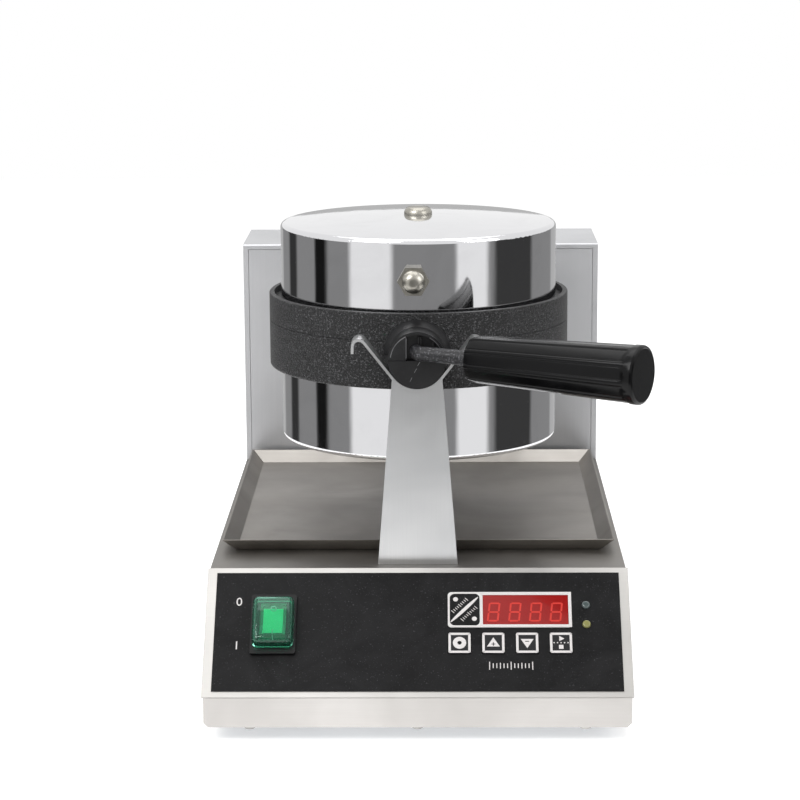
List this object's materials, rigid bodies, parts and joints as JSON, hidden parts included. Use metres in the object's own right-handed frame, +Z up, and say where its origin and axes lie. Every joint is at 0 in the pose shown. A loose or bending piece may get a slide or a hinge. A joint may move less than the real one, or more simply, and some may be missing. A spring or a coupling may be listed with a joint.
{
  "type": "rotating waffle maker",
  "caption": "Countertop waffle maker whose round lidded mould turns over between a front arm and a rear column, on a base with a sloped timer panel and a drip tray.",
  "frame": {"origin": "on the surface the feet stand on, below the middle of the whole outline with the grip, which is 5.7 mm to the right of the middle of the base", "axes": "+X to the right seen from the front, +Y from the control panel to the column at the back, +Z up"},
  "size_m": [0.2938, 0.5249, 0.3254],
  "materials": {
    "brushed_stainless": "brushed",
    "galvanised_sheet": "matte",
    "steel_screws": "satin",
    "foot_rubber": "matte",
    "black_fascia": "satin",
    "pale_frame": "satin",
    "red_window": "gloss",
    "digit_plastic": "matte",
    "black_plastic": "satin",
    "circuit_board": "satin",
    "key_plastic": "satin",
    "clear_lamp": "gloss",
    "yellow_lamp": "gloss",
    "green_rocker": "gloss",
    "green_boot": "gloss",
    "machined_steel": "satin",
    "bronze": "satin",
    "pale_plastic": "matte",
    "transformer_iron": "matte",
    "grey_stainless": "satin",
    "coated_casting": "speckled non-stick coating",
    "polished_stainless": "polished",
    "heater_steel": "oxidised",
    "mineral_wool": "fibrous",
    "nickel_screw": "polished",
    "black_rod": "satin",
    "black_grip": "gloss"
  },
  "bodies": {
    "base": {"base_shell": "brushed_stainless", "bottom_plate": "galvanised_sheet", "machine_screws": "steel_screws", "rubber_feet": "foot_rubber", "front_sheet": "brushed_stainless", "control_fascia": "black_fascia", "display_frame": "pale_frame", "display_window": "red_window", "digit_modules": "digit_plastic", "timer_case": "black_plastic", "timer_board": "circuit_board", "key_switches": "black_plastic", "upper_lamp": "clear_lamp", "lower_lamp": "yellow_lamp", "switch_bezel": "black_plastic", "switch_body": "black_plastic", "switch_boot": "green_boot", "column_shell": "brushed_stainless", "column_front": "brushed_stainless", "back_cover": "brushed_stainless", "front_arm": "brushed_stainless", "saddle_strip": "brushed_stainless", "bearing_flange": "machined_steel", "bearing_housing": "machined_steel", "bearing_bushes": "bronze", "stop_block": "machined_steel", "cable_gland": "black_plastic", "terminal_block": "pale_plastic", "relay": "black_plastic", "transformer": "transformer_iron"},
    "mould": {"lower_plate": "coated_casting", "lower_grid": "coated_casting", "lower_trunnion": "coated_casting", "lower_hinge": "coated_casting", "lower_heater": "heater_steel", "lower_insulation": "mineral_wool", "lower_cup": "polished_stainless", "lower_cup_screw": "nickel_screw", "mould_shaft": "machined_steel", "shaft_collar": "machined_steel", "hinge_pin": "machined_steel"},
    "lid": {"upper_plate": "coated_casting", "upper_grid": "coated_casting", "upper_trunnion": "coated_casting", "upper_hinge": "coated_casting", "upper_heater": "heater_steel", "upper_insulation": "mineral_wool", "upper_cup": "polished_stainless", "upper_cup_screw": "nickel_screw", "cup_bracket": "machined_steel", "acorn_nut": "nickel_screw", "handle_rod": "black_rod", "handle_grip": "black_grip"},
    "tray": {"drip_tray": "grey_stainless"},
    "rocker": {"switch_rocker": "green_rocker"},
    "set_key": {"set_key": "key_plastic"},
    "up_key": {"up_key": "key_plastic"},
    "down_key": {"down_key": "key_plastic"},
    "start_key": {"start_key": "key_plastic"}
  },
  "joints": [
    {"name": "mould_turn", "type": "hinge", "parent": "base", "child": "mould", "pos_m": [-0.0057, -0.032, 0.239], "axis": [0, -1, 0], "range_deg": [0, 180]},
    {"name": "lid_open", "type": "hinge", "parent": "mould", "child": "lid", "pos_m": [-0.0057, 0.0945, 0.264], "axis": [1, 0, 0], "range_deg": [-100, 0]},
    {"name": "tray_slide", "type": "slide", "parent": "base", "child": "tray", "axis": [1, 0, 0], "range_m": [0, 0.27]},
    {"name": "rocker_tilt", "type": "hinge", "parent": "base", "child": "rocker", "pos_m": [-0.1013, -0.20487, 0.06592], "axis": [1, 0, 0], "range_deg": [0, 20]},
    {"name": "set_key_press", "type": "slide", "parent": "base", "child": "set_key", "axis": [0, 0.6968, -0.7173], "range_m": [0, 0.0006], "stiffness_N_per_m": 1500, "springref_m": -0.0004},
    {"name": "up_key_press", "type": "slide", "parent": "base", "child": "up_key", "axis": [0, 0.6968, -0.7173], "range_m": [0, 0.0006], "stiffness_N_per_m": 1500, "springref_m": -0.0004},
    {"name": "down_key_press", "type": "slide", "parent": "base", "child": "down_key", "axis": [0, 0.6968, -0.7173], "range_m": [0, 0.0006], "stiffness_N_per_m": 1500, "springref_m": -0.0004},
    {"name": "start_key_press", "type": "slide", "parent": "base", "child": "start_key", "axis": [0, 0.6968, -0.7173], "range_m": [0, 0.0006], "stiffness_N_per_m": 1500, "springref_m": -0.0004}
  ]
}
